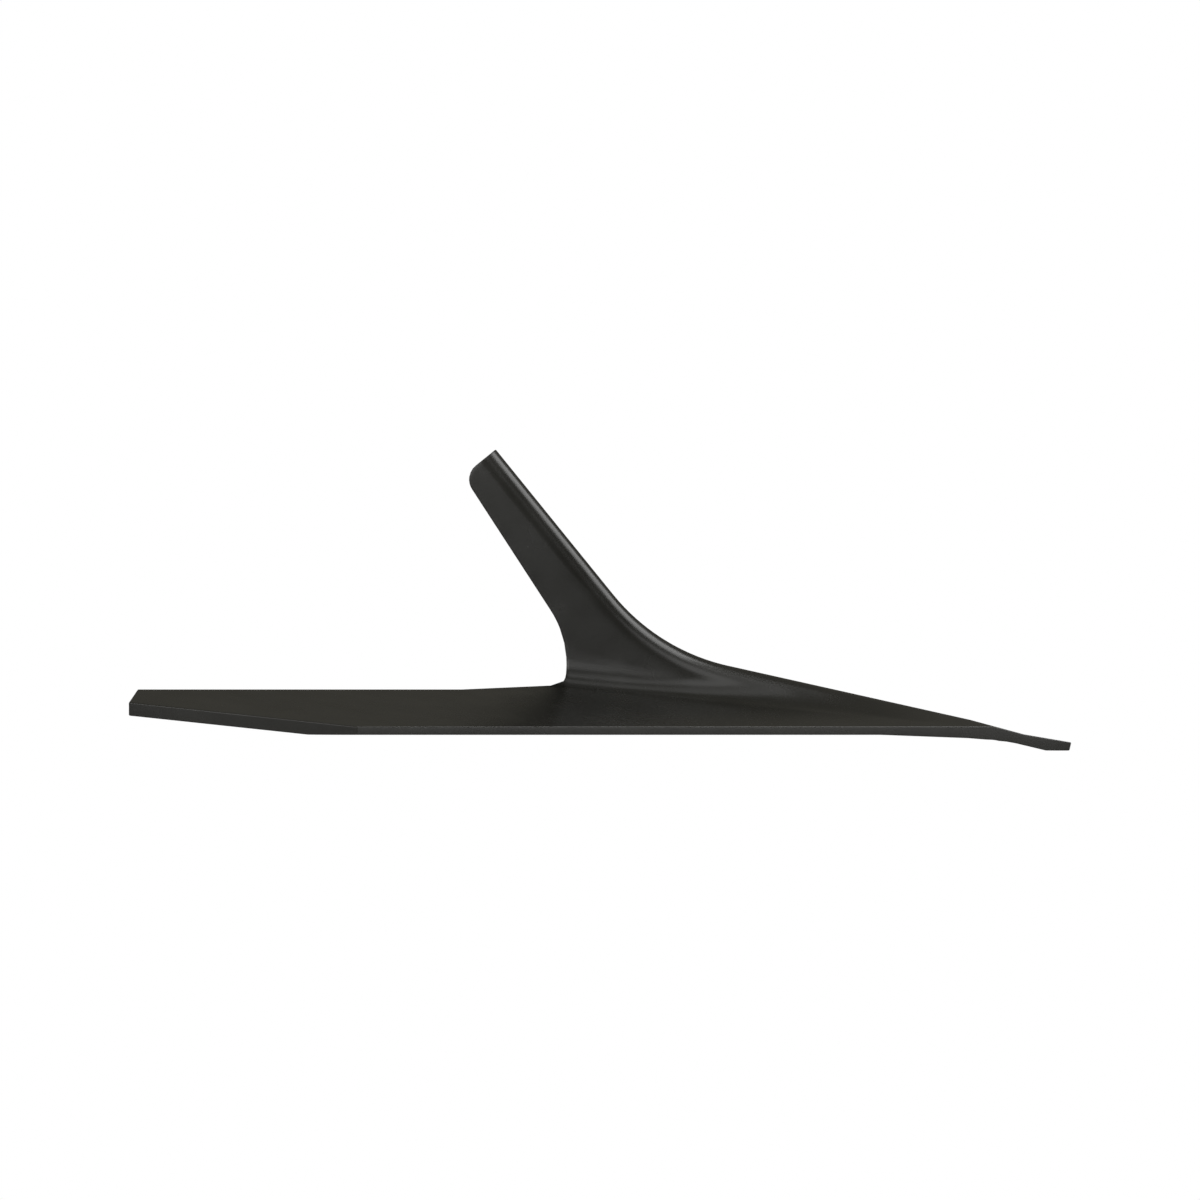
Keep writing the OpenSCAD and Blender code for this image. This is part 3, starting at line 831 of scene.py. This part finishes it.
def round_edges(bm, sizes):
    """Rounds the cut edges, and marks the rounds for the lighter edge tone: a worn thin coat and a painted
    highlight.
    """
    bm.normal_update()
    rim = bm.edges.layers.int["rim"]
    cut = [e for e in bm.edges if e[rim] or e.calc_face_angle(0.0) > sizes.sharp_angle]
    made = bmesh.ops.bevel(
        bm,
        geom=cut,
        offset=sizes.edge_round,
        offset_type="OFFSET",
        affect="EDGES",
        segments=sizes.round_steps,
        profile=0.5,
        loop_slide=True,
        material=-1,
    )
    rounds = set(made["faces"])
    # Mask of the lighter edge tone: worn coat and painted highlight on the rounds
    worn_and_highlit_edge = bm.loops.layers.float.new("edge")
    for face in rounds:
        for loop in face.loops:
            loop[worn_and_highlit_edge] = 1.0 if all(f in rounds for f in loop.vert.link_faces) else 0.0


class SWEEP_OT_plate(bpy.types.Operator):
    """Build the pressed plate with rounded, painted edges"""

    bl_idname = "sweep.plate"
    bl_label = "Plate"

    def execute(self, context):
        sizes = context.scene.sweep_plate
        bm = pressed_plate(sizes)
        round_edges(bm, sizes)
        for face in bm.faces:
            face.smooth = True
        plate = mesh_object("sweep_plate", bm, sprayed_paint(context.scene.sweep_paint))
        normals = plate.modifiers.new("Flat faces stay flat", "WEIGHTED_NORMAL")
        normals.keep_sharp = True
        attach(plate, "root")
        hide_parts("sweep")
        return {"FINISHED"}


def aim(thing, target):
    """Turns a light or camera so that it looks at a point."""
    thing.rotation_euler = (Vector(target) - thing.location).to_track_quat("-Z", "Y").to_euler()


def add_softbox(name, place, target, width, height, power):
    """A soft rectangular light that faces a point."""
    data = bpy.data.lights.new(name, "AREA")
    data.shape = "RECTANGLE"
    data.size = width
    data.size_y = height
    data.energy = power
    light = bpy.data.objects.new(name, data)
    light.location = place
    aim(light, target)
    bpy.context.scene.collection.objects.link(light)


def white_room(settings):
    """A white background, with a dim even room in the reflections."""
    world = bpy.data.worlds.new("white_room")
    world.use_nodes = True
    tree = world.node_tree
    tree.nodes.clear()
    output = tree.nodes.new("ShaderNodeOutputWorld")
    room = add_node(tree, "ShaderNodeBackground", Strength=settings.room_level)
    white = add_node(tree, "ShaderNodeBackground", Strength=1.0)
    room.inputs["Color"].default_value = (*settings.room_colour, 1.0)
    white.inputs["Color"].default_value = (1.0, 1.0, 1.0, 1.0)
    path = tree.nodes.new("ShaderNodeLightPath")
    pick = tree.nodes.new("ShaderNodeMixShader")
    tree.links.new(path.outputs["Is Camera Ray"], pick.inputs["Fac"])
    tree.links.new(room.outputs["Background"], pick.inputs[1])
    tree.links.new(white.outputs["Background"], pick.inputs[2])
    tree.links.new(pick.outputs["Shader"], output.inputs["Surface"])
    return world


class SWEEP_OT_stage(bpy.types.Operator):
    """Build the floor, the lights, the background and the camera"""

    bl_idname = "sweep.stage"
    bl_label = "Stage"

    def execute(self, context):
        scene = context.scene
        settings = scene.sweep_stage
        bm = bmesh.new()
        bmesh.ops.create_circle(bm, cap_ends=True, segments=96, radius=settings.floor_size)
        mesh_object("floor", bm, plain_floor(settings))

        middle = (0.0, 0.0, settings.frame_height)
        for name, (place, width, height, power) in SOFTBOXES.items():
            add_softbox(name, place, middle, width, height, power)

        data = bpy.data.cameras.new("side_camera")
        data.type = "ORTHO"
        data.ortho_scale = settings.frame_width
        camera = bpy.data.objects.new("side_camera", data)
        camera.location = (0.0, -settings.camera_distance, settings.frame_height)
        aim(camera, middle)
        scene.collection.objects.link(camera)
        scene.camera = camera
        scene.world = white_room(settings)
        scene.view_settings.view_transform = "Standard"
        return {"FINISHED"}


class SWEEP_PT_panel(bpy.types.Panel):
    """The steps that build the sweep"""

    bl_label = "Cultivator Sweep"
    bl_idname = "SWEEP_PT_panel"
    bl_space_type = "VIEW_3D"
    bl_region_type = "UI"
    bl_category = "Sweep"

    def draw(self, context):
        for step in STEPS:
            self.layout.operator(step.bl_idname)


STEPS = (SWEEP_OT_plate, SWEEP_OT_stage)
GROUPS = {
    "sweep_plate": SweepPlateSettings,
    "sweep_paint": SweepPaintSettings,
    "sweep_stage": SweepStageSettings,
}


def register():
    """Adds the settings, the operators and the panel."""
    for name, group in GROUPS.items():
        bpy.utils.register_class(group)
        setattr(bpy.types.Scene, name, PointerProperty(type=group))
    for cls in (*STEPS, SWEEP_PT_panel):
        bpy.utils.register_class(cls)


def unregister():
    """Takes them out again."""
    for cls in (SWEEP_PT_panel, *reversed(STEPS)):
        bpy.utils.unregister_class(cls)
    for name, group in GROUPS.items():
        delattr(bpy.types.Scene, name)
        bpy.utils.unregister_class(group)


def main():
    """Builds everything."""
    register()
    bpy.ops.sweep.plate()
    bpy.ops.sweep.stage()


if __name__ == "__main__":
    main()
